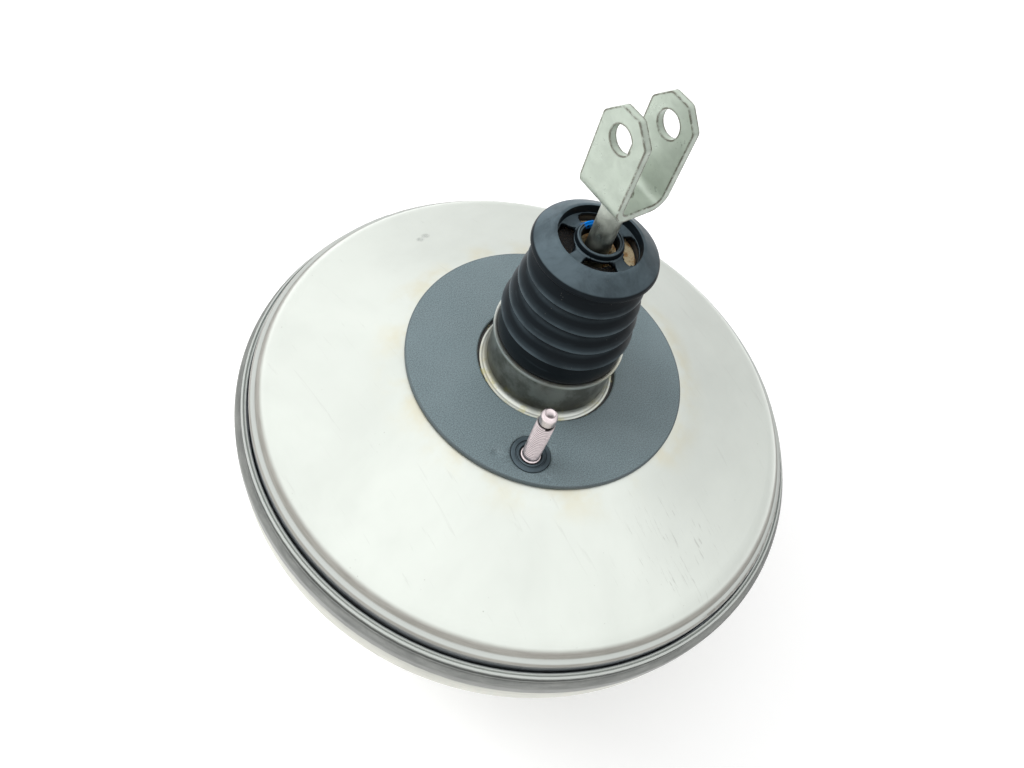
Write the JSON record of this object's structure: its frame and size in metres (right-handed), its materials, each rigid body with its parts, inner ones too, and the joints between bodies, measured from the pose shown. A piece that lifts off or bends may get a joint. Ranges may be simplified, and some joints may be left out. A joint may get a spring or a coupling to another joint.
{
  "type": "brake booster",
  "caption": "Vacuum brake booster: round pressed-steel shells, gasketed firewall face with studs, folded rubber boot, push rod and fork clevis.",
  "frame": {"origin": "centre of the stud circle on the face that meets the firewall", "axes": "+Z along the booster axis towards the pedal; X along the clevis pin; the vacuum chamber lies below z = 0"},
  "size_m": [0.2722, 0.2722, 0.2882],
  "materials": {
    "rear_paint": "satin silver paint",
    "front_paint": "satin silver paint",
    "gasket": "fine-grained dark slate sheet",
    "collar_rubber": "moulded rubber",
    "plain_steel": "pressed, lightly oiled",
    "stud_zinc": "zinc plated, rolled thread",
    "rubber": "moulded rubber",
    "valve_plastic": "moulded nylon",
    "spring_steel": "phosphated wire",
    "bush_plastic": "moulded acetal",
    "body_plastic": "moulded phenolic",
    "machined_steel": "turned",
    "felt": "pressed felt",
    "foam": "open-cell foam",
    "rod_zinc": "zinc plated, dulled",
    "clevis_zinc": "zinc plated, greenish",
    "boot_rubber": "moulded rubber, slight bloom",
    "cap_rubber": "moulded rubber, slight bloom"
  },
  "bodies": {
    "housing": {"rear_shell": "rear_paint", "front_shell": "front_paint", "mounting_gasket": "gasket", "rear_reinforcement_plate": "plain_steel", "firewall_studs": "stud_zinc", "stud_seals": "collar_rubber", "front_reinforcement_plate": "plain_steel", "master_cylinder_studs": "stud_zinc", "master_cylinder_seal": "rubber", "check_valve_grommet": "rubber", "check_valve_base": "valve_plastic", "check_valve_nipple": "valve_plastic", "check_valve_spring": "spring_steel", "neck_bush": "bush_plastic", "neck_seal": "rubber", "seal_retainer": "plain_steel", "return_spring_seat": "plain_steel", "return_spring": "spring_steel", "diaphragm": "rubber", "boot_bellows": "boot_rubber"},
    "power_piston": {"valve_body": "body_plastic", "diaphragm_plate": "plain_steel", "reaction_disc": "rubber", "output_rod": "machined_steel", "adjusting_screw": "machined_steel", "output_rod_retainer": "plain_steel", "stop_key": "plain_steel", "poppet_seal": "rubber", "poppet_retainer": "plain_steel", "poppet_spring": "spring_steel", "rod_return_spring": "spring_steel", "silencer_felt": "felt", "air_filter_foam": "foam", "boot_cap": "cap_rubber"},
    "plunger": {"valve_plunger": "machined_steel"},
    "push_rod": {"input_rod": "rod_zinc", "rod_spring_cup": "plain_steel", "clevis": "clevis_zinc"},
    "check_disc": {"check_valve_disc": "rubber"}
  },
  "joints": [
    {"name": "piston_slide", "type": "slide", "parent": "housing", "child": "power_piston", "axis": [0, 0, -1], "range_m": [0, 0.03], "stiffness_N_per_m": 3000, "springref_m": -0.04, "deforming": ["return_spring", "diaphragm", "boot_bellows"]},
    {"name": "plunger_slide", "type": "slide", "parent": "power_piston", "child": "plunger", "axis": [0, 0, -1], "range_m": [0, 0.0014], "stiffness_N_per_m": 2500, "springref_m": -0.01, "deforming": ["rod_return_spring"]},
    {"name": "rod_swing", "type": "hinge", "parent": "plunger", "child": "push_rod", "pos_m": [0, 0, -0.004], "axis": [1, 0, 0], "range_deg": [-1.8, 1.8], "stiffness_Nm_per_rad": 2},
    {"name": "check_valve_lift", "type": "slide", "parent": "housing", "child": "check_disc", "axis": [0, 0, -1], "range_m": [0, 0.002], "stiffness_N_per_m": 60, "springref_m": -0.005, "deforming": ["check_valve_spring"]}
  ]
}
